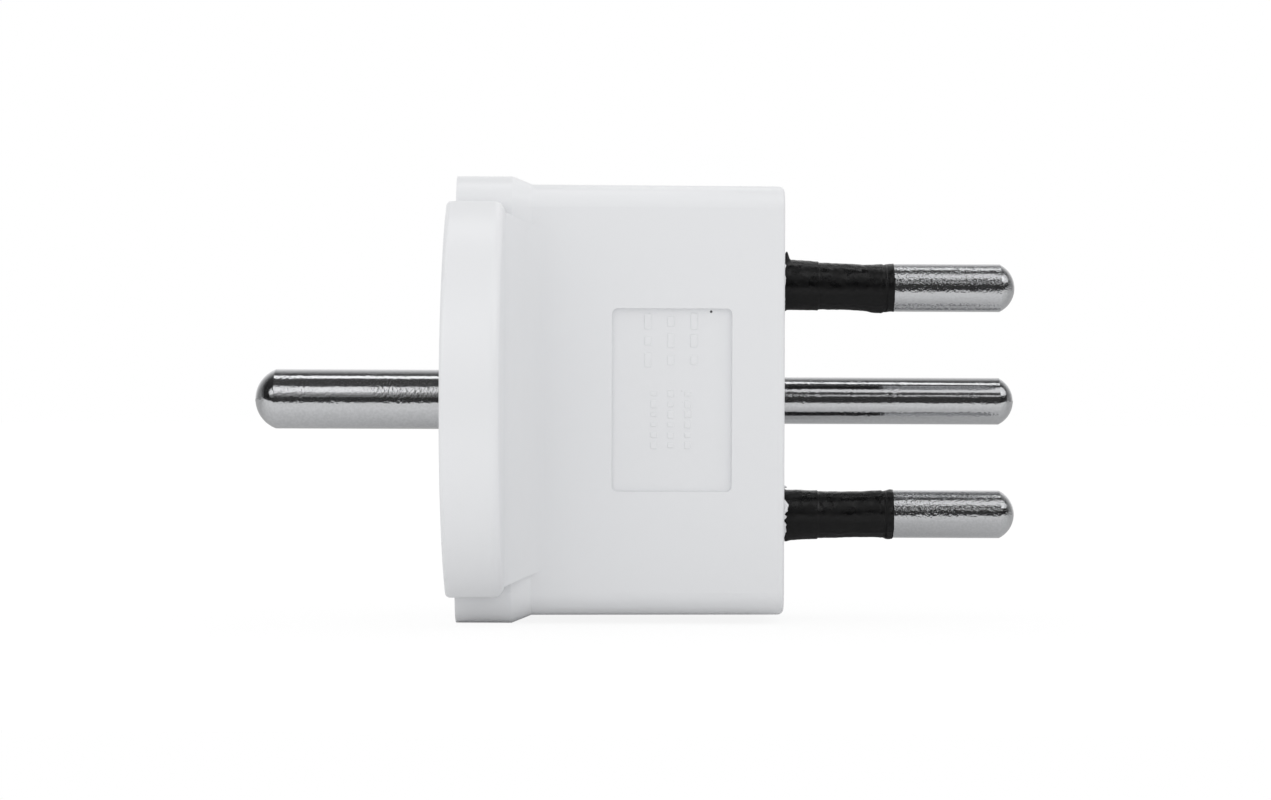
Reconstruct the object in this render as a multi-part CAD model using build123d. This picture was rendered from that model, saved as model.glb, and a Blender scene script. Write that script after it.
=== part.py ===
from build123d import *
from math import asin, cos, radians, sin, tan
import os

# Plug adapter, millimetres. The plug face is the plane x = 0 and the plug pins point along +X.
# The live pins lie one above the other at y = 0, and -Y is the side with the recessed panel.

# Plug pins
pin_diameter = 4.0
live_spacing = 19.0
earth_offset = 5.0
live_reach = 19.5
earth_reach = 20.0
dome_height = 1.25
pin_neck_diameter = 3.0
pin_collar_diameter = 5.4
pin_collar_thickness = 1.2
earth_shoulder_diameter = 4.4
earth_ring_root_diameter = 4.16
earth_ring_end_diameter = 4.08
earth_ring_width = 0.22
earth_groove_width = 0.16
earth_groove_depth = 0.1

# Rivet tails that hold the pins to the contacts and the strap
tail_diameter = 2.4
rivet_head_diameter = 3.6
rivet_head_height = 0.5

# Insulating sleeves, moulded round the necks of the live pins
sleeve_length = 9.3
sleeve_root_diameter = 4.35
sleeve_ring_at = 2.95
sleeve_ring_diameter = 4.15
sleeve_land_diameter = 4.0
sleeve_waist_diameter = 3.88
sleeve_waist_at = 6.4
sleeve_groove_at = 8.3
sleeve_groove_width = 0.4
sleeve_groove_depth = 0.07
sleeve_end_diameter = 4.08

# Socket side
socket_earth_diameter = 4.8
socket_earth_offset = 10.0
socket_earth_reach = 15.3
socket_dome_height = 1.67
socket_shoulder_diameter = 5.6
live_hole_diameter = 5.2
live_hole_chamfer = 0.5

# Housing
body_depth = 27.7
block_height = 35.7
block_corner_radius = 2.0
block_draft = 0.25
plug_face_round = 0.5
flange_thickness = 4.7
flange_overhang = 0.65
flange_setback = 0.6
lip_depth = 5.2
cove_radius = 3.2
cove_end_taper = 22.0
disc_diameter = 37.0
disc_corner_radius = 1.2
disc_back_round = 0.8
rim_round = 0.4

# Recessed panel on the near side
panel_length = 9.9
panel_height = 15.1
panel_depth = 0.4
panel_corner_radius = 0.5
panel_centre_x = -9.3

# Inside of the housing
plug_wall = 3.0
side_wall = 1.5
rim_wall = 1.5
ledge_width = 0.6
pocket_depth = 0.8
barrier_thickness = 1.2
barrier_to_strap = 1.8
contact_end_room = 1.08
contact_side_room = 0.38
collar_side_room = 0.1

# Socket cover
cover_thickness = 2.2
mouth_ring_height = 0.7
mouth_ring_wall = 1.0

# Contacts, springs and strap
contact_bore_diameter = 4.84
contact_wall = 0.6
contact_base_thickness = 0.8
contact_mouth_gap = 0.2
contact_slot_width = 0.8
contact_slot_length = 13.0
spring_at = 3.6
spring_width = 2.0
spring_thickness = 0.5
spring_groove_depth = 0.15
spring_gap = 2.0
strap_thickness = 0.7
strap_width = 4.4
strap_leg_y = 1.2
strap_bend_radius = 1.1
strap_end_margin = 2.6

# Clearances
pin_hole_clearance = 0.05
sleeve_clearance = 0.05
cover_clearance = 0.05
tail_clearance = 0.05
spring_clearance = 0.05
pocket_clearance = 0.2
mouth_clearance = 0.08

# Worked-out places
live_z = live_spacing / 2
disc_front_x = -body_depth
flange_front_x = disc_front_x + flange_setback
flange_back_x = disc_front_x + flange_thickness
cove_end_x = flange_back_x + cove_radius
lip_end_x = disc_front_x + lip_depth
cover_back_x = disc_front_x + cover_thickness
plug_wall_x = -plug_wall
collar_back_x = plug_wall_x - pin_collar_thickness
pocket_floor_x = cover_back_x + pocket_depth
pin_hole_diameter = max(sleeve_root_diameter, earth_shoulder_diameter) + 2 * pin_hole_clearance
contact_outer_diameter = contact_bore_diameter + 2 * contact_wall
spring_inner_diameter = contact_outer_diameter - 2 * spring_groove_depth + 2 * spring_clearance
spring_outer_diameter = spring_inner_diameter + 2 * spring_thickness

# The well in the block just clears the spring rings and the collar of the earth pin
well_near_y = -(spring_outer_diameter / 2 + contact_side_room)
well_far_y = earth_offset + pin_collar_diameter / 2 + collar_side_room
well_height = live_spacing + spring_outer_diameter + 2 * contact_end_room
disc_across_flats = well_height + 2 * (ledge_width + rim_wall)
draft_slope = tan(radians(block_draft))
block_thickness = well_far_y - well_near_y + 2 * (side_wall - flange_back_x * draft_slope)
block_centre_y = (well_near_y + well_far_y) / 2


def plane_at(x):
    """Plane across the adapter at x, with its own x along Y and its own y along Z."""
    return Plane.YZ.offset(x)


def prism(outline, x_from, x_to):
    """The outline, drawn across the adapter, made solid between two places along X."""
    return extrude(plane_at(x_from) * outline, x_to - x_from)


def bore(diameter, y, z, x_from, x_to):
    """Round hole or bar along X."""
    return prism(Pos(y, z) * Circle(diameter / 2), x_from, x_to)


def block_side_y(x, side):
    """Y of the drafted flat of the block at x: side -1 is the near flat, +1 the far one."""
    narrowing = (x - flange_back_x) * draft_slope
    return block_centre_y + side * (block_thickness / 2 - narrowing)


def disc_outline(inset):
    """Round face with its top and bottom cut flat, drawn inset from the real edge."""
    face = Circle(disc_diameter / 2 - inset) & Rectangle(disc_diameter, disc_across_flats - 2 * inset)
    return fillet(face.vertices(), disc_corner_radius)


def turned(stations):
    """Solid turned about the X axis through (x, radius) stations that start and end on the axis."""
    return revolve(make_face(Polyline(*stations, close=True)), Axis.X)


def domed(stations, tip_x, height):
    """Solid turned about the X axis through the stations and closed by a shallow dome."""
    edge_x, edge_radius = stations[-1]
    dome_radius = (edge_radius**2 + height**2) / (2 * height)
    half_angle = asin(edge_radius / dome_radius) / 2
    middle = (tip_x - dome_radius * (1 - cos(half_angle)), dome_radius * sin(half_angle))
    side = Polyline(*stations)
    dome = ThreePointArc((edge_x, edge_radius), middle, (tip_x, 0))
    axis = Line((tip_x, 0), stations[0])
    return revolve(make_face(side + dome + axis), Axis.X)


def housing_outside():
    """Drafted block, round disc and lip, joined by one cove that runs round the block."""
    block_outline = RectangleRounded(block_thickness, block_height, block_corner_radius)
    block_sketch = plane_at(flange_back_x) * Pos(block_centre_y, 0) * block_outline
    block = extrude(block_sketch, -flange_back_x, taper=block_draft)
    wide = 2 * disc_diameter
    slab = prism(Rectangle(wide, wide), disc_front_x, flange_back_x)
    on_slab = slab + block
    slab_back = on_slab.faces().filter_by(Axis.X).sort_by(Axis.X)[1]
    block_root = slab_back.inner_wires()[0].edges()
    coved = fillet(block_root, cove_radius)

    disc = prism(disc_outline(0), disc_front_x, flange_back_x)
    disc = fillet(disc.edges().group_by(Axis.X)[-1], disc_back_round)
    cove_foot = plane_at(flange_back_x) * disc_outline(disc_back_round)
    cove_limit = extrude(cove_foot, cove_radius, taper=cove_end_taper)

    lip = Pos(block_centre_y, 0) * RectangleRounded(
        block_thickness + 2 * flange_overhang,
        block_height + 2 * flange_overhang,
        block_corner_radius + flange_overhang,
    )
    lip_limit = prism(lip, disc_front_x, lip_end_x)
    lip_limit += extrude(plane_at(lip_end_x) * lip, cove_end_x - lip_end_x, taper=cove_end_taper)
    outside = (coved & (cove_limit + lip_limit)) + disc + block
    lip_front = prism(Rectangle(wide, wide) - disc_outline(0), disc_front_x, flange_front_x)
    outside -= lip_front
    plug_edges = outside.edges().group_by(Axis.X)[-1]
    outside = fillet(plug_edges, plug_face_round)
    rim_edges = outside.edges().group_by(Axis.X)[0]
    return fillet(rim_edges, rim_round)


def housing_inside():
    """Space inside the housing: cover seat, shallow pocket behind it and the deep well in the block."""
    seat = prism(disc_outline(rim_wall), disc_front_x, cover_back_x)
    pocket = prism(disc_outline(rim_wall + ledge_width), cover_back_x, pocket_floor_x)
    well_outline = Pos(block_centre_y, 0) * Rectangle(well_far_y - well_near_y, well_height)
    well = prism(well_outline, cover_back_x, plug_wall_x)
    barrier_z = strap_width / 2 + barrier_to_strap + barrier_thickness / 2
    for z in (barrier_z, -barrier_z):
        barrier = Pos(0, z) * Rectangle(disc_diameter, barrier_thickness)
        well -= prism(barrier, pocket_floor_x, plug_wall_x)
    return seat + pocket + well


def body_shell():
    """White moulded housing, one piece from the flange to the plug face."""
    shell = housing_outside() - housing_inside()
    for y, z in ((0, live_z), (0, -live_z), (earth_offset, 0)):
        shell -= bore(pin_hole_diameter, y, z, plug_wall_x, 0)
    head_pocket = rivet_head_diameter + 2 * pocket_clearance
    head_depth = rivet_head_height + pocket_clearance
    strap_back_x = cover_back_x + strap_thickness
    shell -= bore(head_pocket, -socket_earth_offset, 0, cover_back_x, strap_back_x + head_depth)
    panel_y = block_side_y(panel_centre_x, -1)
    panel_outline = RectangleRounded(panel_length, panel_height, panel_corner_radius)
    panel_sketch = Plane.XZ.offset(-(panel_y + panel_depth)) * Pos(panel_centre_x, 0) * panel_outline
    return shell - extrude(panel_sketch, panel_depth + flange_overhang)


def socket_cover():
    """Plate that closes the socket face, with rings that guide the mouths of the contacts."""
    cover = prism(disc_outline(rim_wall + cover_clearance), disc_front_x, cover_back_x)
    mouth_diameter = contact_outer_diameter + 2 * mouth_clearance
    ring_diameter = mouth_diameter + 2 * mouth_ring_wall
    mouth_x = cover_back_x - contact_mouth_gap
    for z in (live_z, -live_z):
        cover += bore(ring_diameter, 0, z, cover_back_x, cover_back_x + mouth_ring_height)
        cover -= bore(mouth_diameter, 0, z, mouth_x, cover_back_x + mouth_ring_height)
        cover -= bore(live_hole_diameter, 0, z, disc_front_x, cover_back_x)
    front_edges = cover.edges().group_by(Axis.X)[0]
    cover = chamfer(front_edges.filter_by(lambda edge: edge.is_closed), live_hole_chamfer)
    earth_hole = socket_shoulder_diameter + 2 * pin_hole_clearance
    return cover - bore(earth_hole, -socket_earth_offset, 0, disc_front_x, cover_back_x)


def riveted_tail(plate_thickness):
    """Stations of a tail that goes through a plate behind the collar and is headed over it."""
    plate_back_x = collar_back_x - plate_thickness
    return [
        (plate_back_x - rivet_head_height, 0),
        (plate_back_x - rivet_head_height, tail_diameter / 2),
        (plate_back_x, rivet_head_diameter / 2),
        (plate_back_x, tail_diameter / 2),
        (collar_back_x, tail_diameter / 2),
        (collar_back_x, pin_collar_diameter / 2),
        (plug_wall_x, pin_collar_diameter / 2),
    ]


def live_pin():
    """Turned pin with a thin neck under its sleeve, on the X axis."""
    stations = riveted_tail(contact_base_thickness) + [
        (plug_wall_x, pin_neck_diameter / 2),
        (sleeve_length, pin_neck_diameter / 2),
        (sleeve_length, pin_diameter / 2),
        (live_reach - dome_height, pin_diameter / 2),
    ]
    return domed(stations, live_reach, dome_height)


def plug_earth_pin():
    """Turned pin, bare along its whole length, with a flush shoulder, a small ring and a groove."""
    stations = riveted_tail(strap_thickness) + [
        (plug_wall_x, earth_shoulder_diameter / 2),
        (0, earth_shoulder_diameter / 2),
        (0, earth_ring_root_diameter / 2),
        (earth_ring_width, earth_ring_end_diameter / 2),
        (earth_ring_width + earth_groove_width / 2, pin_diameter / 2 - earth_groove_depth),
        (earth_ring_width + earth_groove_width, pin_diameter / 2),
        (earth_reach - dome_height, pin_diameter / 2),
    ]
    return domed(stations, earth_reach, dome_height)


def socket_pin():
    """Earth pin of the socket side, pointing along -X, its shoulder held in the cover by the strap."""
    strap_back_x = cover_back_x + strap_thickness
    tip_x = -disc_front_x + socket_earth_reach
    stations = [
        (-strap_back_x - rivet_head_height, 0),
        (-strap_back_x - rivet_head_height, tail_diameter / 2),
        (-strap_back_x, rivet_head_diameter / 2),
        (-strap_back_x, tail_diameter / 2),
        (-cover_back_x, tail_diameter / 2),
        (-cover_back_x, socket_shoulder_diameter / 2),
        (-disc_front_x, socket_shoulder_diameter / 2),
        (-disc_front_x, socket_earth_diameter / 2),
        (tip_x - socket_dome_height, socket_earth_diameter / 2),
    ]
    return mirror(domed(stations, tip_x, socket_dome_height), Plane.YZ)


def pin_sleeve():
    """Moulded sleeve with a root in the wall, a ring mark, a waist and a groove near its end."""
    bore_radius = pin_neck_diameter / 2 + sleeve_clearance
    groove_middle = sleeve_groove_at + sleeve_groove_width / 2
    groove_radius = sleeve_land_diameter / 2 - sleeve_groove_depth
    waist = Spline(
        (sleeve_ring_at, sleeve_land_diameter / 2),
        (sleeve_waist_at, sleeve_waist_diameter / 2),
        (sleeve_groove_at, sleeve_land_diameter / 2),
    )
    root = Polyline(
        (sleeve_ring_at, sleeve_land_diameter / 2),
        (sleeve_ring_at, sleeve_ring_diameter / 2),
        (0, sleeve_root_diameter / 2),
        (plug_wall_x, sleeve_root_diameter / 2),
        (plug_wall_x, bore_radius),
        (sleeve_length, bore_radius),
        (sleeve_length, sleeve_end_diameter / 2),
        (sleeve_groove_at + sleeve_groove_width, sleeve_land_diameter / 2),
        (groove_middle, groove_radius),
        (sleeve_groove_at, sleeve_land_diameter / 2),
    )
    return revolve(make_face(waist + root), Axis.X)


def split_contact():
    """Brass cup on the X axis, split from its mouth, with a groove for its spring."""
    base_x = collar_back_x
    floor_x = base_x - contact_base_thickness
    mouth_x = cover_back_x - contact_mouth_gap
    spring_mouth_x = mouth_x + spring_at
    outer = contact_outer_diameter / 2
    inner = contact_bore_diameter / 2
    stations = [
        (base_x, tail_diameter / 2 + tail_clearance),
        (base_x, outer),
        (spring_mouth_x + spring_width + spring_clearance, outer),
        (spring_mouth_x + spring_width + spring_clearance, outer - spring_groove_depth),
        (spring_mouth_x - spring_clearance, outer - spring_groove_depth),
        (spring_mouth_x - spring_clearance, outer),
        (mouth_x, outer),
        (mouth_x, inner + contact_wall / 2),
        (mouth_x + contact_wall, inner),
        (floor_x, inner),
        (floor_x, tail_diameter / 2 + tail_clearance),
    ]
    cup = turned(stations)
    slot = Rectangle(2 * contact_outer_diameter, contact_slot_width)
    return cup - prism(slot, mouth_x, mouth_x + contact_slot_length)


def contact_spring():
    """Open ring of spring steel that presses the split contact together."""
    spring_x = cover_back_x - contact_mouth_gap + spring_at
    ring = Circle(spring_outer_diameter / 2) - Circle(spring_inner_diameter / 2)
    mouth = Pos(spring_outer_diameter / 2, 0) * Rectangle(spring_outer_diameter, spring_gap)
    return prism(ring - mouth, spring_x, spring_x + spring_width)


def earth_strap():
    """Bent strip from the socket earth pin, behind the cover, down to the plug earth pin."""
    top_x = cover_back_x + strap_thickness / 2
    foot_x = collar_back_x - strap_thickness / 2
    path = FilletPolyline(
        (top_x, -socket_earth_offset - strap_end_margin),
        (top_x, strap_leg_y),
        (foot_x, strap_leg_y),
        (foot_x, earth_offset + strap_end_margin),
        radius=strap_bend_radius,
    )
    start = Plane(origin=path @ 0, x_dir=(0, 0, 1), z_dir=path % 0)
    strap = sweep(start * Rectangle(strap_width, strap_thickness), path)
    hole = tail_diameter + 2 * tail_clearance
    strap -= bore(hole, -socket_earth_offset, 0, cover_back_x, cover_back_x + strap_thickness)
    return strap - bore(hole, earth_offset, 0, collar_back_x - strap_thickness, collar_back_x)


line_place = Pos(0, 0, live_z)
neutral_place = Pos(0, 0, -live_z)

parts = {
    "body_shell": body_shell(),
    "socket_cover": socket_cover(),
    "socket_earth_pin": Pos(0, -socket_earth_offset, 0) * socket_pin(),
    "earth_strap": earth_strap(),
    "earth_pin": Pos(0, earth_offset, 0) * plug_earth_pin(),
}
for name, place in (("line", line_place), ("neutral", neutral_place)):
    parts[name + "_pin"] = place * live_pin()
    parts[name + "_pin_sleeve"] = place * pin_sleeve()
    parts[name + "_contact"] = place * split_contact()
    parts[name + "_contact_spring"] = place * contact_spring()

os.makedirs("parts", exist_ok=True)
for name, shape in parts.items():
    export_step(shape, "parts/" + name + ".step")
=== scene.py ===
from math import cos, pi, radians, sin, tau

import bmesh
import bpy
from mathutils import Matrix, Vector, noise


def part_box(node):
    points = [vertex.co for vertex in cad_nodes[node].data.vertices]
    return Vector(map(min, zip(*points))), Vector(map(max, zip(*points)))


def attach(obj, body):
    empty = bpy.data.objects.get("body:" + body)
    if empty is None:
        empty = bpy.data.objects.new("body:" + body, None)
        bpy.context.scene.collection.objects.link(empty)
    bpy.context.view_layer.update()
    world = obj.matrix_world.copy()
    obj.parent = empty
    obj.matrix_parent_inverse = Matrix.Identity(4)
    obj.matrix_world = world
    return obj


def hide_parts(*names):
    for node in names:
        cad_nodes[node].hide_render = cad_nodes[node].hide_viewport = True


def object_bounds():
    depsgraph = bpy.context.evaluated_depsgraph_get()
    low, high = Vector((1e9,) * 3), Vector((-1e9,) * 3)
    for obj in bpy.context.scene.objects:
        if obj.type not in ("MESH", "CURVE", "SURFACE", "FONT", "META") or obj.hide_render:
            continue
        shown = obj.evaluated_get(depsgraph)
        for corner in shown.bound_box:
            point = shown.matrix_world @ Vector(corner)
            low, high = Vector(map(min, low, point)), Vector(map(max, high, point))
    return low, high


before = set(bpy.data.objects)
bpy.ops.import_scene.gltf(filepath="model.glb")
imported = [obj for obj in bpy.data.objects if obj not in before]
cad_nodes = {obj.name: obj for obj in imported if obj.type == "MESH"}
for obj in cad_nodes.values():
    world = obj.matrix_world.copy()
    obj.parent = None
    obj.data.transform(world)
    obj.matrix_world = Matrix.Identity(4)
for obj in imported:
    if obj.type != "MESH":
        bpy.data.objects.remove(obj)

cad_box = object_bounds()
scene = bpy.context.scene
scene.view_settings.view_transform = "Standard"
mm = 0.001

# Camera. It stands square to the side of the adapter, level with the middle of the housing,
# about a quarter of a metre away, and is turned a little as the one in the photograph was.
photo_width_px = 1271
focal_length_px = 3094
camera_place = Vector((-12.3, -260, 0)) * mm
camera_roll = radians(-0.2)
nearest_seen = 10 * mm

camera_data = bpy.data.cameras.new("photo_camera")
camera_data.lens = camera_data.sensor_width * focal_length_px / photo_width_px
camera_data.clip_start = nearest_seen
camera = bpy.data.objects.new("photo_camera", camera_data)
camera.location = camera_place
camera.rotation_euler = (radians(90), camera_roll, 0)
scene.collection.objects.link(camera)
scene.camera = camera

# Studio. A dark room with a white sweep behind the table: the camera sees only white,
# diffuse surfaces get even light, and metal shows the sweep and the dark room above it.
light_from_below = 1.02
light_from_above = 0.98
# A direction this steep, where 1 is straight up or down, gets the full light from there
full_light_steepness = 0.5
# Light of the room in a reflection, by the angle in degrees over the object from the camera side
# to the back. It falls off sideways, where 1 is straight towards an end of the room.
room_by_angle = [
    (0, 0.035), (60, 0.06), (108, 0.07), (117, 0.18),
    (125, 0.4), (135, 0.62), (147, 0.85), (160, 1.0),
]
fall_off_from = 0.35
fall_off_to = 0.85
light_at_ends = 0.3


def srgb(hex_code):
    """Linear colour with full alpha from an sRGB hex code."""
    channels = [int(hex_code[i:i + 2], 16) / 255 for i in (1, 3, 5)]
    linear = [c / 12.92 if c <= 0.04045 else ((c + 0.055) / 1.055) ** 2.4 for c in channels]
    return (*linear, 1)


def grey(level):
    """Neutral linear colour."""
    return (level, level, level, 1)


def add_node(tree, kind, inputs=None, **settings):
    """Adds a node with its settings.

    Each input gets a constant, the socket that feeds it, or the node whose first output does.
    """
    node = tree.nodes.new(kind)
    for name, value in settings.items():
        setattr(node, name, value)
    for socket, value in (inputs or {}).items():
        if isinstance(value, bpy.types.Node):
            value = value.outputs[0]
        if isinstance(value, bpy.types.NodeSocket):
            tree.links.new(value, node.inputs[socket])
        else:
            node.inputs[socket].default_value = value
    return node


world = bpy.data.worlds.new("studio")
scene.world = world
world.use_nodes = True
tree = world.node_tree
tree.nodes.clear()
ray = add_node(tree, "ShaderNodeLightPath").outputs
direction = add_node(tree, "ShaderNodeTexCoord").outputs["Generated"]
part = add_node(tree, "ShaderNodeSeparateXYZ", {0: direction}).outputs

forward = add_node(tree, "ShaderNodeMath", {0: part["Y"], 1: -1.0}, operation="MULTIPLY")
angle = add_node(tree, "ShaderNodeMath", {0: part["Z"], 1: forward}, operation="ARCTAN2")
share = add_node(tree, "ShaderNodeMath", {0: angle, 1: pi}, operation="DIVIDE")
room = add_node(tree, "ShaderNodeValToRGB", {0: share})
stops = room.color_ramp.elements
stops.remove(stops[1])
stops[0].color = grey(room_by_angle[0][1])
for degrees, level in room_by_angle[1:]:
    stops.new(degrees / 180).color = grey(level)
sideways = add_node(tree, "ShaderNodeMath", {0: part["X"]}, operation="ABSOLUTE")
to_ends = add_node(tree, "ShaderNodeMapRange", {
    "Value": sideways, "From Min": fall_off_from, "From Max": fall_off_to,
    "To Min": 1.0, "To Max": light_at_ends,
})
reflected = add_node(tree, "ShaderNodeBackground", {"Color": room, "Strength": to_ends})

fade = add_node(tree, "ShaderNodeMapRange", {
    "Value": part["Z"], "From Min": -full_light_steepness, "From Max": full_light_steepness,
    "To Min": light_from_below, "To Max": light_from_above,
})
even = add_node(tree, "ShaderNodeBackground", {"Color": grey(1.0), "Strength": fade})
white = add_node(tree, "ShaderNodeBackground", {"Color": grey(1.0)})
lit = add_node(tree, "ShaderNodeMixShader", {0: ray["Is Glossy Ray"], 1: even, 2: reflected})
seen = add_node(tree, "ShaderNodeMixShader", {0: ray["Is Camera Ray"], 1: lit, 2: white})
add_node(tree, "ShaderNodeOutputWorld", {0: seen})

# Table. A wide sheet of white paper under the adapter, which the camera sees as near white, with
# a faint shadow where the adapter stands on it. Behind the adapter its colour is painted darker,
# as painted shade. It lets a little light through from below, and ends in front, where the pins
# reflect the dark room.
table_reach = 2000 * mm
table_front_edge = -88 * mm
table_level = cad_box[0][2]
# Painted shade: between these two depths the paper's colour is painted from the lighter tone to the
# darker one
painted_shade_starts_at = -35 * mm
painted_shade_full_at = 20 * mm
unshaded_paper = "#F4F4F4"
painted_shade_paper = "#C4C4C4"
light_through_paper = 0.06
# The camera sees the paper glow, with this darker paper under the glow to take the shadow
paper_glow = 0.88
paper_under_glow = "#666666"

table_mesh = bpy.data.meshes.new("paper_table")
corners = [
    (-table_reach, table_front_edge), (table_reach, table_front_edge),
    (table_reach, table_reach), (-table_reach, table_reach),
]
table_mesh.from_pydata([(x, y, table_level) for x, y in corners], [], [(0, 1, 2, 3)])
table = bpy.data.objects.new("paper_table", table_mesh)
scene.collection.objects.link(table)

paper = bpy.data.materials.new("matt_white_paper")
paper.use_nodes = True
tree = paper.node_tree
tree.nodes.clear()
ray = add_node(tree, "ShaderNodeLightPath").outputs
place = add_node(tree, "ShaderNodeTexCoord").outputs["Object"]
depth = add_node(tree, "ShaderNodeSeparateXYZ", {0: place}).outputs["Y"]
# Share of the painted shade, from none in front to full behind the adapter
back = add_node(tree, "ShaderNodeMapRange", {
    "Value": depth, "From Min": painted_shade_starts_at, "From Max": painted_shade_full_at,
})
painted_shade_tint = add_node(tree, "ShaderNodeMix", {
    "Factor": back, 6: srgb(unshaded_paper), 7: srgb(painted_shade_paper),
}, data_type="RGBA")
top_side = add_node(tree, "ShaderNodeBsdfDiffuse", {"Color": painted_shade_tint.outputs[2]})
through = add_node(
    tree, "ShaderNodeMath", {0: ray["Is Diffuse Ray"], 1: light_through_paper}, operation="MULTIPLY"
)
from_below = add_node(tree, "ShaderNodeEmission", {"Strength": through})
sheet = add_node(tree, "ShaderNodeAddShader", {0: top_side, 1: from_below})
shade = add_node(tree, "ShaderNodeBsdfDiffuse", {"Color": srgb(paper_under_glow)})
glow = add_node(tree, "ShaderNodeEmission", {"Strength": paper_glow})
bright = add_node(tree, "ShaderNodeAddShader", {0: shade, 1: glow})
seen = add_node(tree, "ShaderNodeMixShader", {0: ray["Is Camera Ray"], 1: sheet, 2: bright})
add_node(tree, "ShaderNodeOutputMaterial", {0: seen})
table_mesh.materials.append(paper)

# Lamps. They show in reflections only and give the pins their bright lines: a softbox on the left
# that fades out downwards in two dimmer strips, one on the right with a low reflector under it,
# one at the right end, and two narrow cards close over the pins. Sizes are in millimetres.
lamp_distance = 600 * mm
card_distance = 50 * mm
left_end = (-560, 0, 0)
towards_right_end = Vector((0.85, -0.1, 0.5))


def rectangular_lamp(name, aim, away, distance, size, radiance, turn=0.0):
    """Lamp that faces the point aim from the direction away, turned about the vertical."""
    width, height = (side * mm for side in size)
    data = bpy.data.lights.new(name, "AREA")
    data.shape = "RECTANGLE"
    data.size, data.size_y = width, height
    data.energy = radiance * pi * width * height
    lamp = bpy.data.objects.new(name, data)
    lamp.location = Vector(aim) * mm + distance * away.normalized()
    facing = (-away).to_track_quat("-Z", "Y").to_matrix()
    lamp.rotation_euler = (Matrix.Rotation(turn, 3, "Z") @ facing).to_euler()
    lamp.visible_camera = False
    lamp.visible_diffuse = False
    scene.collection.objects.link(lamp)


def over(degrees):
    """Direction at an angle over the adapter, measured from the camera side."""
    return Vector((0, -cos(radians(degrees)), sin(radians(degrees))))


rectangular_lamp("left_softbox", left_end, over(36.5), lamp_distance, (1000, 234), 1.22)
rectangular_lamp("left_softbox_fade", left_end, over(21.5), lamp_distance, (1000, 84), 0.5)
rectangular_lamp("left_softbox_rim", left_end, over(12.8), lamp_distance, (1000, 99), 0.22)
rectangular_lamp("right_softbox", (490, 0, 0), over(57), lamp_distance, (1000, 300), 0.98)
rectangular_lamp("low_reflector", (310, 0, 0), over(26), lamp_distance, (600, 55), 0.9)
rectangular_lamp("left_card", (-40, -7.7, 0), over(90), card_distance, (70, 11), 1.6)
rectangular_lamp("right_card", (11, 10, 0), over(90), card_distance, (60, 9.5), 1.6, radians(-12))
rectangular_lamp("end_softbox", (10, 0, 0), towards_right_end, lamp_distance, (350, 250), 1.1)

# Housing and socket cover. Both are injection moulded in white polycarbonate; the cover is
# welded into its seat. The mould of the housing was polished, that of the cover was spark eroded.
sink_wave_size = 5 * mm
sink_wave_depth = 0.012 * mm
polycarbonate_ior = 1.58
# Faint specks all over the moulding, and one dark speck at the edge of the panel
speck_spacing = 4 * mm
speck_radius = 0.13 * mm
speck_core = 0.6
speck_colour = "#3A3A3C"
faint_speck_strength = 0.35
panel_speck_place = (-6.09, 7.3)


def on_camera_side(x, z):
    """Point of the housing's surface that faces the camera at x and z, given in millimetres."""
    in_front = Vector((x * mm, cad_box[0][1], z * mm))
    return cad_nodes["body_shell"].ray_cast(in_front, Vector((0, 1, 0)))[1]


def start_material(name):
    """Empty material, its tree and its object coordinates."""
    material = bpy.data.materials.new(name)
    material.use_nodes = True
    material.node_tree.nodes.clear()
    place = add_node(material.node_tree, "ShaderNodeTexCoord").outputs["Object"]
    return material, material.node_tree, place


def dress(node_name, material):
    """Gives a CAD node a new material in every slot of its object."""
    for slot in cad_nodes[node_name].material_slots:
        slot.link = "OBJECT"
        slot.material = material


def moulded_white(name, hex_code, roughness, grain, grain_depth):
    """White moulded plastic with slow shrinkage waves, a fine grain from the mould and specks."""
    material, tree, place = start_material(name)
    waves = add_node(tree, "ShaderNodeTexNoise", {
        "Vector": place, "Scale": 1 / sink_wave_size, "Detail": 1.0,
    })
    sunk = add_node(tree, "ShaderNodeBump", {
        "Height": waves, "Distance": sink_wave_depth, "Strength": 1.0,
    })
    fine = add_node(tree, "ShaderNodeTexNoise", {
        "Vector": place, "Scale": 1 / grain, "Detail": 3.0,
    })
    bump = add_node(tree, "ShaderNodeBump", {
        "Height": fine, "Distance": grain_depth, "Strength": 1.0, "Normal": sunk,
    })
    cells = add_node(tree, "ShaderNodeTexVoronoi", {"Vector": place, "Scale": 1 / speck_spacing})
    faint_specks = add_node(tree, "ShaderNodeMapRange", {
        "Value": cells.outputs["Distance"], "From Max": speck_radius / speck_spacing,
        "To Min": faint_speck_strength, "To Max": 0.0,
    })
    from_speck = add_node(
        tree, "ShaderNodeVectorMath", {0: place, 1: panel_speck}, operation="DISTANCE"
    )
    dark_speck = add_node(tree, "ShaderNodeMapRange", {
        "Value": from_speck.outputs["Value"], "From Min": speck_radius * speck_core,
        "From Max": speck_radius, "To Min": 1.0, "To Max": 0.0,
    })
    dirt = add_node(tree, "ShaderNodeMath", {0: faint_specks, 1: dark_speck}, operation="MAXIMUM")
    colour = add_node(tree, "ShaderNodeMix", {
        "Factor": dirt, 6: srgb(hex_code), 7: srgb(speck_colour),
    }, data_type="RGBA")
    surface = add_node(tree, "ShaderNodeBsdfPrincipled", {
        "Base Color": colour.outputs[2], "Roughness": roughness, "IOR": polycarbonate_ior,
        "Normal": bump,
    })
    add_node(tree, "ShaderNodeOutputMaterial", {0: surface})
    return material


panel_speck = on_camera_side(*panel_speck_place)
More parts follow.
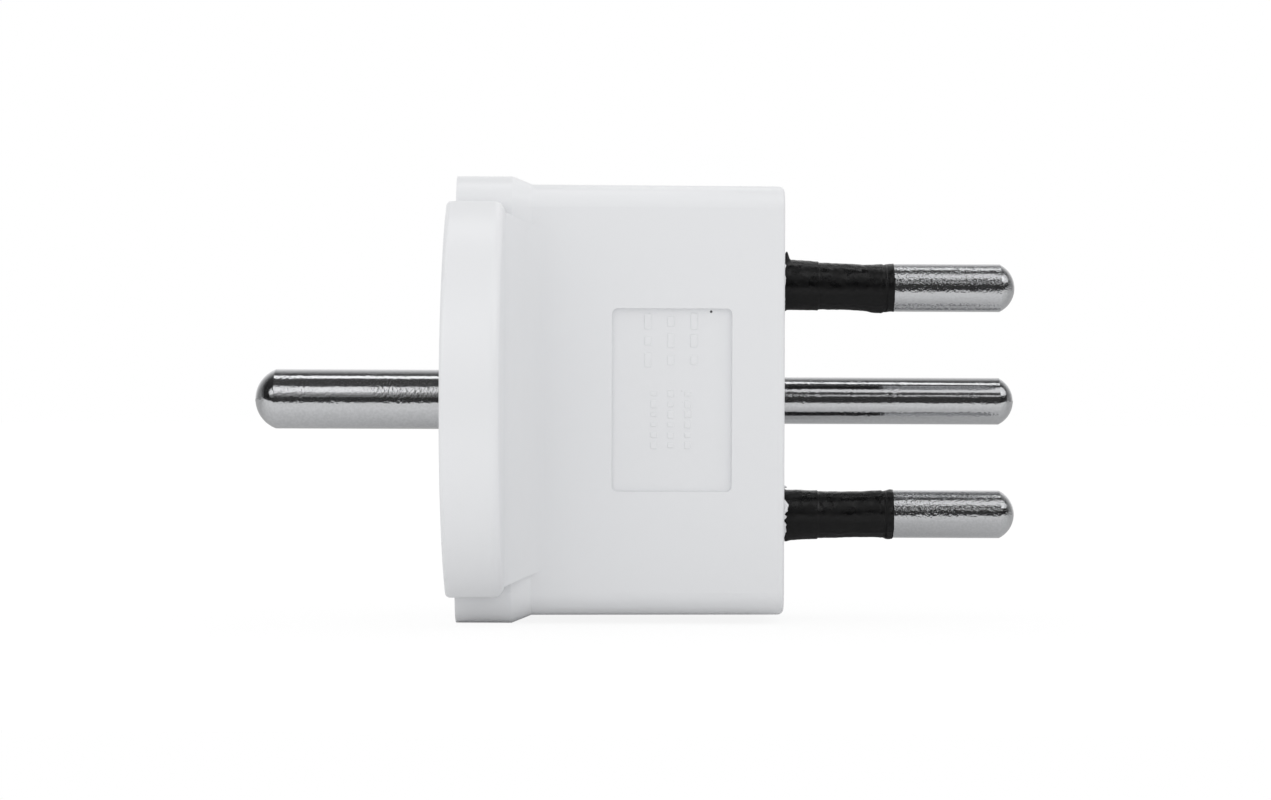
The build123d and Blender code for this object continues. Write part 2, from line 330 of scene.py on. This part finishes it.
# The grain of the polished mould is really under a tenth of a millimetre, and is drawn coarser
housing_plastic = moulded_white(
    "white_moulded_polycarbonate", "#EAEBED",
    roughness=0.34, grain=0.35 * mm, grain_depth=0.002 * mm,
)
cover_plastic = moulded_white(
    "white_eroded_polycarbonate", "#E7E8EA",
    roughness=0.5, grain=0.12 * mm, grain_depth=0.006 * mm,
)
dress("body_shell", housing_plastic)
dress("socket_cover", cover_plastic)

# Pins. Turned from drawn brass rod and bright nickel plated. The rod leaves fine straight lines
# along each pin, and the plating has a grain that breaks up the edges of a reflection, stronger on
# the live pins. Real lines and grain are a tenth of a millimetre or less, and are drawn coarser.
draw_line_width = 0.12 * mm
draw_line_length = 4 * mm
draw_line_depth = 0.002 * mm
nickel_roughness = 0.13
# The plating is grainy in patches: the grain grows between two levels of the patches' noise
patch_size = 3 * mm
smooth_below = 0.42
grainy_above = 0.58
# The valleys of the grain are a little darker than its ridges
tone_by_grain = [(0.4, "#C4C5C7"), (0.6, "#CBCCCE")]


def nickel_plate(name, grain_size, grain_depth, least_grain):
    """Bright nickel plating on turned brass, with grainy patches and smoother ones between them."""
    material, tree, place = start_material(name)
    along = add_node(tree, "ShaderNodeMapping", {
        "Vector": place, "Scale": (draw_line_width / draw_line_length, 1.0, 1.0),
    })
    lines = add_node(tree, "ShaderNodeTexNoise", {
        "Vector": along, "Scale": 1 / draw_line_width, "Detail": 2.0, "Roughness": 0.6,
    })
    line_bump = add_node(tree, "ShaderNodeBump", {
        "Height": lines, "Distance": draw_line_depth, "Strength": 1.0,
    })
    patches = add_node(tree, "ShaderNodeTexNoise", {
        "Vector": place, "Scale": 1 / patch_size, "Detail": 1.0,
    })
    grainy = add_node(tree, "ShaderNodeMapRange", {
        "Value": patches, "From Min": smooth_below, "From Max": grainy_above,
        "To Min": least_grain, "To Max": 1.0,
    })
    grain = add_node(tree, "ShaderNodeTexNoise", {
        "Vector": place, "Scale": 1 / grain_size, "Detail": 1.0,
    })
    grain_bump = add_node(tree, "ShaderNodeBump", {
        "Height": grain, "Distance": grain_depth, "Strength": grainy, "Normal": line_bump,
    })
    tone = add_node(tree, "ShaderNodeValToRGB", {0: grain})
    for stop, (level, colour) in zip(tone.color_ramp.elements, tone_by_grain):
        stop.position = level
        stop.color = srgb(colour)
    metal = add_node(tree, "ShaderNodeBsdfPrincipled", {
        "Base Color": tone, "Metallic": 1.0, "Roughness": nickel_roughness, "Normal": grain_bump,
    })
    add_node(tree, "ShaderNodeOutputMaterial", {0: metal})
    return material


smooth_nickel = nickel_plate(
    "bright_nickel_on_drawn_brass", grain_size=0.22 * mm, grain_depth=0.016 * mm, least_grain=0.3
)
grainy_nickel = nickel_plate(
    "bright_nickel_on_sanded_brass", grain_size=0.17 * mm, grain_depth=0.03 * mm, least_grain=0.8
)
for pin in ("socket_earth_pin", "earth_pin"):
    dress(pin, smooth_nickel)
for pin in ("line_pin", "neutral_pin"):
    dress(pin, grainy_nickel)

# Contacts, earth strap and springs, inside the housing. The contacts and the strap are stamped
# from bare brass strip, and the spring rings are bright spring steel. Both show rolling lines,
# which really are a few hundredths of a millimetre wide and are drawn coarser.
roll_line_width = 0.1 * mm
roll_line_length = 1 * mm
roll_line_depth = 0.003 * mm


def rolled_metal(name, hex_code, roughness):
    """Bare rolled metal with fine lines from the rolls."""
    material, tree, place = start_material(name)
    along = add_node(tree, "ShaderNodeMapping", {
        "Vector": place, "Scale": (roll_line_width / roll_line_length, 1.0, 1.0),
    })
    lines = add_node(tree, "ShaderNodeTexNoise", {
        "Vector": along, "Scale": 1 / roll_line_width, "Detail": 2.0,
    })
    bump = add_node(tree, "ShaderNodeBump", {
        "Height": lines, "Distance": roll_line_depth, "Strength": 1.0,
    })
    metal = add_node(tree, "ShaderNodeBsdfPrincipled", {
        "Base Color": srgb(hex_code), "Metallic": 1.0, "Roughness": roughness, "Normal": bump,
    })
    add_node(tree, "ShaderNodeOutputMaterial", {0: metal})
    return material


brass = rolled_metal("bare_rolled_brass", "#D9B871", roughness=0.3)
spring_steel = rolled_metal("bright_spring_steel", "#B4B4B6", roughness=0.25)
for contact in ("line_contact", "neutral_contact", "earth_strap"):
    dress(contact, brass)
for spring in ("line_contact_spring", "neutral_contact_spring"):
    dress(spring, spring_steel)

# Sleeves. Black polyamide moulded straight onto the necks of the live pins, a rough job: lumpy,
# with a ring where the mould parts, a sunk groove near the end and thin flash over the metal.
# The upper half of the mould leaves a glossy, cloudy skin, and the worn lower half a dull one.
sleeve_colour = "#060607"
polyamide_ior = 1.4
skin_grain = 0.28 * mm
skin_depth = 0.03 * mm
# Roughness of the glossy skin from its clear stretches to its clouds
cloud_size = 0.9 * mm
clear_below, clouded_above = 0.35, 0.65
clear_roughness, clouded_roughness = 0.2, 0.4
dull_roughness = 0.7
# The skin is dull up to this far under a pin's axis, and glossy from this far over it
dull_under_axis = 0.7 * mm
glossy_over_axis = 0.1 * mm


def axis_height(node_name):
    """Height of the axis of a CAD sleeve, in millimetres."""
    low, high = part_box(node_name)
    return (low.z + high.z) / 2 / mm


black_polyamide, tree, place = start_material("black_moulded_polyamide")
cloudy = add_node(tree, "ShaderNodeTexNoise", {
    "Vector": place, "Scale": 1 / cloud_size, "Detail": 4.0,
})
gloss = add_node(tree, "ShaderNodeMapRange", {
    "Value": cloudy, "From Min": clear_below, "From Max": clouded_above,
    "To Min": clear_roughness, "To Max": clouded_roughness,
})
# Height within one pitch of the live pins, so that both sleeves get the same halves
line_axis = axis_height("line_pin_sleeve") * mm
height = add_node(tree, "ShaderNodeSeparateXYZ", {0: place}).outputs["Z"]
height_in_pitch = add_node(
    tree, "ShaderNodeMath", {0: height, 1: 2 * line_axis}, operation="FLOORED_MODULO"
)
finish = add_node(tree, "ShaderNodeMapRange", {
    "Value": height_in_pitch,
    "From Min": line_axis - dull_under_axis, "From Max": line_axis + glossy_over_axis,
    "To Min": dull_roughness, "To Max": gloss,
})
skin = add_node(tree, "ShaderNodeTexNoise", {
    "Vector": place, "Scale": 1 / skin_grain, "Detail": 3.0,
})
bump = add_node(tree, "ShaderNodeBump", {"Height": skin, "Distance": skin_depth, "Strength": 1.0})
plastic = add_node(tree, "ShaderNodeBsdfPrincipled", {
    "Base Color": srgb(sleeve_colour), "Roughness": finish, "IOR": polyamide_ior, "Normal": bump,
})
add_node(tree, "ShaderNodeOutputMaterial", {0: plastic})

# Shape of the moulding, in millimetres. Places are counted along the pin from the plug face.
sleeve_x_from, sleeve_x_to = (corner.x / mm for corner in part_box("line_pin_sleeve"))
mid_wall = -0.6
bore_radius = 1.55
metal_radius = 2.0
root_radius = 2.175
ring_mark_at = 2.95
ring_mark_end = ring_mark_at + 0.12
groove_at = 8.3
groove_width = 0.4
groove_middle = groove_at + groove_width / 2
groove_end = groove_at + groove_width
# Outside of the moulding from the plug face to the metal, as (place along the pin, radius)
sleeve_stations = [
    (0.0, 2.17), (0.5, 2.12), (1.6, 2.1), (2.8, 2.06), (ring_mark_at, 2.07), (ring_mark_end, 1.98),
    (4.2, 1.97), (6.4, 1.94), (7.6, 1.96), (groove_at - groove_width / 2, 1.97), (groove_at, 2.0),
    (groove_middle, 1.94), (groove_end, 1.99), (9.1, 2.03), (9.3, 2.04),
]
# A sleeve stands off centre near its root, fully at lean_full_at and no more at lean_reach
lean_full_at = 0.4
lean_reach = 7.5
# Lumps and creases all over the outside: their heights, how many lumps come on a millimetre along
# the pin and on a radian round it, and how many times finer the small lumps and creases are
lump_height = 0.04
small_lump_height = 0.02
crease_depth = 0.03
lumps_along = 0.8
lumps_round = 1.3
small_lumps_finer = 3.1
creases_finer = 2.3
creases_apart = Vector((9, 0, 0))
# Ridge along the parting line of the mould, low on the camera side, which wanders a little
seam_angle = radians(228)
seam_height = 0.06
seam_spread = 0.13
seam_wander = 0.12
wanders_along = 0.7
# Thin flash at the end, which reaches unevenly over the metal
flash_thickness = 0.025
flash_over_metal = 0.004
flash_least = 0.01
flash_mean = 0.02
flash_waves = 0.08
flash_ripples = 0.05
flash_waves_round = 2.4
flash_seed_step = 7
ripples_finer = 3
# Fineness of the mesh
rings_per_mm = 10
sides = 96


def station_radius(x):
    """Radius of the sleeve's outside at x, between its stations."""
    if x <= sleeve_stations[0][0]:
        return root_radius
    for (x_a, r_a), (x_b, r_b) in zip(sleeve_stations, sleeve_stations[1:]):
        if x <= x_b:
            return r_a + (r_b - r_a) * (x - x_a) / (x_b - x_a)
    return sleeve_stations[-1][1]


def turn_from(angle, other):
    """Turn from another angle to this one, between half a turn back and half a turn on."""
    return (angle - other + pi) % tau - pi


def closed_band(name, mesh, rings, material):
    """Object whose faces join each ring of vertices to the next, and the last to the first."""
    for ring_a, ring_b in zip(rings, rings[1:] + rings[:1]):
        for side in range(sides):
            after = (side + 1) % sides
            mesh.faces.new((ring_a[side], ring_a[after], ring_b[after], ring_b[side]))
    bmesh.ops.recalc_face_normals(mesh, faces=mesh.faces)
    for face in mesh.faces:
        face.smooth = True
    data = bpy.data.meshes.new(name)
    mesh.to_mesh(data)
    mesh.free()
    data.materials.append(material)
    band = bpy.data.objects.new(name, data)
    scene.collection.objects.link(band)
    return band


def moulded_sleeve(name, node_name, seed, root_lean, swellings):
    """Irregular sleeve that replaces a CAD sleeve, off centre by root_lean at its root.

    A swelling is (x, angle, length, spread, height).
    """
    axis_z = axis_height(node_name)
    evenly_spaced = [i / rings_per_mm for i in range(int(sleeve_x_to * rings_per_mm) + 1)]
    marks = [ring_mark_at, ring_mark_end, groove_at, groove_middle, groove_end]
    stations = sorted({sleeve_x_from, mid_wall, *evenly_spaced, *marks, sleeve_x_to})
    mesh = bmesh.new()

    def lean(x, radius):
        if x <= 0 or radius <= bore_radius:
            return 0
        return root_lean * min(1, x / lean_full_at) * max(0, 1 - x / lean_reach)

    def ring(place_at):
        """Ring of vertices. At an angle, place_at gives the place along the pin and the radius."""
        made = []
        for side in range(sides):
            angle = tau * side / sides
            x, radius = place_at(angle)
            z = axis_z + radius * sin(angle) + lean(x, radius)
            made.append(mesh.verts.new((x * mm, radius * cos(angle) * mm, z * mm)))
        return made

    def lumps(x, angle):
        at = Vector((x * lumps_along, cos(angle) * lumps_round, sin(angle) * lumps_round + seed))
        small_lumps = small_lump_height * noise.noise(at * small_lumps_finer)
        creases = crease_depth * abs(noise.noise(at * creases_finer + creases_apart))
        return lump_height * noise.noise(at) + small_lumps - creases

    def outer_radius(x, angle):
        radius = station_radius(x)
        if x <= 0:
            return radius
        radius += lumps(x, angle) * min(1, x)
        wander = seam_wander * noise.noise(Vector((x * wanders_along, seed, 0)))
        if x > ring_mark_at:
            off_seam = turn_from(angle, seam_angle) - wander
            radius += seam_height * max(0, 1 - abs(off_seam) / seam_spread)
        for swell_x, swell_angle, length, spread, height in swellings:
            turn = turn_from(angle, swell_angle)
            reach = ((x - swell_x) / length) ** 2 + (turn / spread) ** 2
            if reach < 1:
                radius += height * (1 - reach) ** 2
        return radius

    def flash_end(angle):
        across, up = cos(angle) * flash_waves_round, sin(angle) * flash_waves_round
        at = Vector((seed + flash_seed_step, across, up))
        waves = flash_waves * noise.noise(at) + flash_ripples * noise.noise(at * ripples_finer)
        return sleeve_x_to + max(flash_least, flash_mean + waves)

    over_metal = metal_radius + flash_over_metal
    rings = [ring(lambda angle: (x, outer_radius(x, angle))) for x in stations]
    rings.append(ring(lambda angle: (flash_end(angle), metal_radius + flash_thickness)))
    rings.append(ring(lambda angle: (flash_end(angle), over_metal)))
    rings.append(ring(lambda angle: (sleeve_x_to, over_metal)))
    rings.append(ring(lambda angle: (sleeve_x_to, bore_radius)))
    rings.append(ring(lambda angle: (sleeve_x_from, bore_radius)))
    sleeve = closed_band(name, mesh, rings, black_polyamide)
    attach(sleeve, "root")
    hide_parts(node_name)


# Angles run from +Y, so the camera side is at pi and the top at pi / 2
line_swellings = [
    (0.32, radians(100), 0.36, 0.35, 0.74),
    (8.0, radians(275), 1.3, 0.7, 0.2),
    (8.8, radians(235), 0.5, 0.4, 0.08),
    (1.6, radians(170), 1.2, 0.8, 0.04),
]
neutral_swellings = [
    (9.1, radians(80), 0.4, 0.5, 0.08),
    (8.9, radians(265), 0.6, 0.5, 0.12),
    (0.3, radians(265), 0.5, 0.5, 0.1),
    (4.6, radians(190), 2.0, 0.8, 0.03),
]
moulded_sleeve(
    "line_sleeve_moulding", "line_pin_sleeve", seed=3.7, root_lean=0.24, swellings=line_swellings
)
moulded_sleeve(
    "neutral_sleeve_moulding", "neutral_pin_sleeve", seed=11.2, root_lean=-0.13,
    swellings=neutral_swellings,
)

# Flash round the live pin holes. The white plastic of the plug face crept up against the sleeves
# when the pins were pressed in, and stands as a thin torn collar round each. Sizes in millimetres.
collar_gap = 0.02
collar_sunk = 0.05
least_rise = 0.02
least_spread = 0.03
# Shares of a collar's height and width: their mean, slow waves round the hole, and quick ones
height_mean, height_waves, height_ripples = 0.45, 0.9, 0.5
width_mean, width_waves = 0.7, 0.6
collar_waves_round = 2.5
width_waves_finer = 1.7
# The top slopes outwards, down to this share of the height at this share of the width
slope_height = 0.85
slope_width = 0.4


def torn_collar(name, node_name, seed, height, width):
    """Thin uneven ring on the plug face, close round a sleeve."""
    axis_z = axis_height(node_name)
    inner = root_radius + collar_gap
    mesh = bmesh.new()
    rings = [[], [], [], []]
    for side in range(sides):
        angle = tau * side / sides
        at = Vector((cos(angle) * collar_waves_round, sin(angle) * collar_waves_round, seed))
        tears = height_waves * noise.noise(at) + height_ripples * noise.noise(at * ripples_finer)
        rise = max(least_rise, height * (height_mean + tears))
        swells = width_waves * noise.noise(at * width_waves_finer)
        spread = max(least_spread, width * (width_mean + swells))
        profile = [
            (-collar_sunk, inner), (rise, inner),
            (rise * slope_height, inner + spread * slope_width), (-collar_sunk, inner + spread),
        ]
        for ring, (x, radius) in zip(rings, profile):
            z = axis_z + radius * sin(angle)
            ring.append(mesh.verts.new((x * mm, radius * cos(angle) * mm, z * mm)))
    collar = closed_band(name, mesh, rings, housing_plastic)
    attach(collar, "root")


torn_collar("line_hole_flash", "line_pin_sleeve", seed=1.3, height=0.22, width=0.3)
torn_collar("neutral_hole_flash", "neutral_pin_sleeve", seed=5.9, height=0.5, width=0.4)

# Relief in the panel. Short plain bars are engraved in rows in the mould of the housing, so they
# stand a little proud of the panel's floor, in the same white plastic.
bar_proud = 0.055 * mm
shortest_bar = 0.45
bar_edge_crease = 0.75
bar_rounding_levels = 3
# Two blocks of bars, a coarse one above a fine one, with centre and sizes in millimetres
bar_blocks = [
    {
        "name": "panel_relief_coarse", "centre": (-9.4, 4.9), "seed": 4,
        "counts": {"Columns": 3, "Rows": 3},
        "sizes": {"Column pitch": 1.9, "Row pitch": 1.6, "Bar width": 0.55, "Bar length": 1.4},
    },
    {
        "name": "panel_relief_fine", "centre": (-9.4, -1.6), "seed": 7,
        "counts": {"Columns": 3, "Rows": 6},
        "sizes": {"Column pitch": 1.4, "Row pitch": 0.85, "Bar width": 0.5, "Bar length": 0.65},
    },
]


def new_tree(name, inputs):
    """Geometry Nodes tree with named inputs for its sizes, and the sockets they come from."""
    tree = bpy.data.node_groups.new(name, "GeometryNodeTree")
    for label, kind in inputs:
        tree.interface.new_socket(label, in_out="INPUT", socket_type=kind)
    tree.interface.new_socket("Geometry", in_out="OUTPUT", socket_type="NodeSocketGeometry")
    return tree, add_node(tree, "NodeGroupInput").outputs


def plain_result(tree, name, values):
    """Object with the plain mesh that the tree makes from these values."""
    carrier = bpy.data.objects.new(name, bpy.data.meshes.new(name + "_seed"))
    scene.collection.objects.link(carrier)
    modifier = carrier.modifiers.new(name, "NODES")
    modifier.node_group = tree
    for item in tree.interface.items_tree:
        if item.in_out == "INPUT":
            modifier[item.identifier] = values[item.name]
    depsgraph = bpy.context.evaluated_depsgraph_get()
    mesh = bpy.data.meshes.new_from_object(carrier.evaluated_get(depsgraph))
    carrier.modifiers.remove(modifier)
    carrier.data = mesh
    return carrier


bars, given = new_tree("engraved_bars", [
    ("Columns", "NodeSocketInt"), ("Rows", "NodeSocketInt"),
    ("Column pitch", "NodeSocketFloat"), ("Row pitch", "NodeSocketFloat"),
    ("Bar width", "NodeSocketFloat"), ("Bar length", "NodeSocketFloat"),
    ("Proud", "NodeSocketFloat"), ("Centre", "NodeSocketVector"),
    ("Seed", "NodeSocketInt"), ("Material", "NodeSocketMaterial"),
])
spans = []
for count, pitch in (("Columns", "Column pitch"), ("Rows", "Row pitch")):
    gaps = add_node(bars, "ShaderNodeMath", {0: given[count], 1: 1.0}, operation="SUBTRACT")
    spans.append(add_node(bars, "ShaderNodeMath", {0: gaps, 1: given[pitch]}, operation="MULTIPLY"))
grid = add_node(bars, "GeometryNodeMeshGrid", {
    "Size X": spans[0], "Size Y": spans[1],
    "Vertices X": given["Columns"], "Vertices Y": given["Rows"],
})
upright = add_node(bars, "GeometryNodeTransform", {
    "Geometry": grid, "Rotation": (pi / 2, 0, 0), "Translation": given["Centre"],
})
brick = add_node(bars, "GeometryNodeMeshCube", {"Size": (1, 1, 1)})
rounded = add_node(bars, "GeometryNodeSubdivisionSurface", {
    "Mesh": brick, "Level": bar_rounding_levels, "Edge Crease": bar_edge_crease,
})
draw = add_node(bars, "FunctionNodeRandomValue", {
    2: shortest_bar, 3: 1.0, "Seed": given["Seed"],
}, data_type="FLOAT")
length = add_node(
    bars, "ShaderNodeMath", {0: draw.outputs[1], 1: given["Bar length"]}, operation="MULTIPLY"
)
# A bar is centred on the floor, so it is twice as thick as it stands proud
thickness = add_node(bars, "ShaderNodeMath", {0: given["Proud"], 1: 2.0}, operation="MULTIPLY")
bar_size = add_node(bars, "ShaderNodeCombineXYZ", {
    "X": given["Bar width"], "Y": thickness, "Z": length,
})
placed = add_node(bars, "GeometryNodeInstanceOnPoints", {
    "Points": upright, "Instance": rounded, "Scale": bar_size,
})
real = add_node(bars, "GeometryNodeRealizeInstances", {0: placed})
smooth = add_node(bars, "GeometryNodeSetShadeSmooth", {0: real})
finished = add_node(bars, "GeometryNodeSetMaterial", {
    "Geometry": smooth, "Material": given["Material"],
})
add_node(bars, "NodeGroupOutput", {0: finished})

for block in bar_blocks:
    values = {
        "Proud": bar_proud, "Centre": on_camera_side(*block["centre"]),
        "Seed": block["seed"], "Material": housing_plastic, **block["counts"],
    }
    values.update({label: size * mm for label, size in block["sizes"].items()})
    relief = plain_result(bars, block["name"], values)
    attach(relief, "root")
